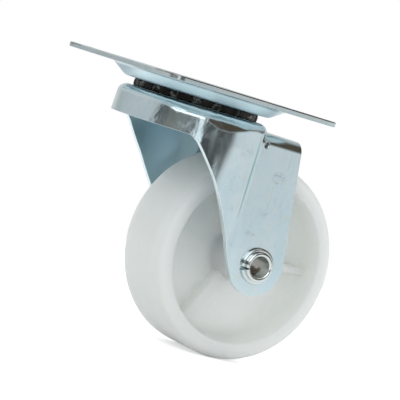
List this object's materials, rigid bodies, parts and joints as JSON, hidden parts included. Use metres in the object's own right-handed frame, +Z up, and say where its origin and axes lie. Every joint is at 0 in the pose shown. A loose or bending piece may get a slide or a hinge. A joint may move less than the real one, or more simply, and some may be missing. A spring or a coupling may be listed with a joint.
{
  "type": "swivel castor",
  "caption": "Swivel castor with a flat bolt-on top plate, a pressed steel fork on ball races and a one-piece white plastic wheel on a tubular axle.",
  "frame": {"origin": "on the swivel axis, in the mounting face of the top plate", "axes": "+Z up out of the mounting face, +X the way the wheel trails, +Y along the axle"},
  "size_m": [0.114, 0.086, 0.102],
  "materials": {
    "zinc_plate": "blue-white zinc plated sheet",
    "zinc_fork": "blue-white zinc plated sheet",
    "zinc_race": "zinc plated, thinly oiled",
    "zinc_rivet": "zinc plated",
    "bright_zinc": "bright zinc",
    "steel_sleeve": "plain steel tube",
    "white_nylon": "satin, slightly translucent",
    "black_cage": "greased black plastic",
    "ball_steel": "greased steel"
  },
  "bodies": {
    "mounting_plate": {"top_plate": "zinc_plate", "king_pin": "zinc_rivet", "lower_race": "zinc_race"},
    "fork_assembly": {"fork": "zinc_fork", "axle_tube": "bright_zinc", "axle_sleeve": "steel_sleeve"},
    "rolling_wheel": {"wheel": "white_nylon"},
    "upper_ball_ring": {"upper_ball_cage": "black_cage", "upper_ball_01": "ball_steel", "upper_ball_02": "ball_steel", "upper_ball_03": "ball_steel", "upper_ball_04": "ball_steel", "upper_ball_05": "ball_steel", "upper_ball_06": "ball_steel", "upper_ball_07": "ball_steel", "upper_ball_08": "ball_steel", "upper_ball_09": "ball_steel", "upper_ball_10": "ball_steel", "upper_ball_11": "ball_steel", "upper_ball_12": "ball_steel", "upper_ball_13": "ball_steel", "upper_ball_14": "ball_steel", "upper_ball_15": "ball_steel", "upper_ball_16": "ball_steel", "upper_ball_17": "ball_steel", "upper_ball_18": "ball_steel"},
    "lower_ball_ring": {"lower_ball_01": "ball_steel", "lower_ball_02": "ball_steel", "lower_ball_03": "ball_steel", "lower_ball_04": "ball_steel", "lower_ball_05": "ball_steel", "lower_ball_06": "ball_steel", "lower_ball_07": "ball_steel", "lower_ball_08": "ball_steel", "lower_ball_09": "ball_steel", "lower_ball_10": "ball_steel", "lower_ball_11": "ball_steel", "lower_ball_12": "ball_steel", "lower_ball_13": "ball_steel", "lower_ball_14": "ball_steel", "lower_ball_15": "ball_steel", "lower_ball_16": "ball_steel"}
  },
  "joints": [
    {"name": "swivel", "type": "hinge", "parent": "mounting_plate", "child": "fork_assembly", "pos_m": [0, 0, 0], "axis": [0, 0, 1], "continuous": true},
    {"name": "wheel_spin", "type": "hinge", "parent": "fork_assembly", "child": "rolling_wheel", "pos_m": [0.035, 0, -0.062], "axis": [0, 1, 0], "continuous": true},
    {"name": "upper_ball_orbit", "type": "hinge", "parent": "mounting_plate", "child": "upper_ball_ring", "pos_m": [0, 0, -0.00755], "axis": [0, 0, 1], "continuous": true},
    {"name": "lower_ball_orbit", "type": "hinge", "parent": "mounting_plate", "child": "lower_ball_ring", "pos_m": [0, 0, -0.0122], "axis": [0, 0, 1], "continuous": true}
  ],
  "couplings": [
    {"joint": "upper_ball_orbit", "follows": "swivel", "ratio": 0.5},
    {"joint": "lower_ball_orbit", "follows": "swivel", "ratio": 0.5}
  ]
}
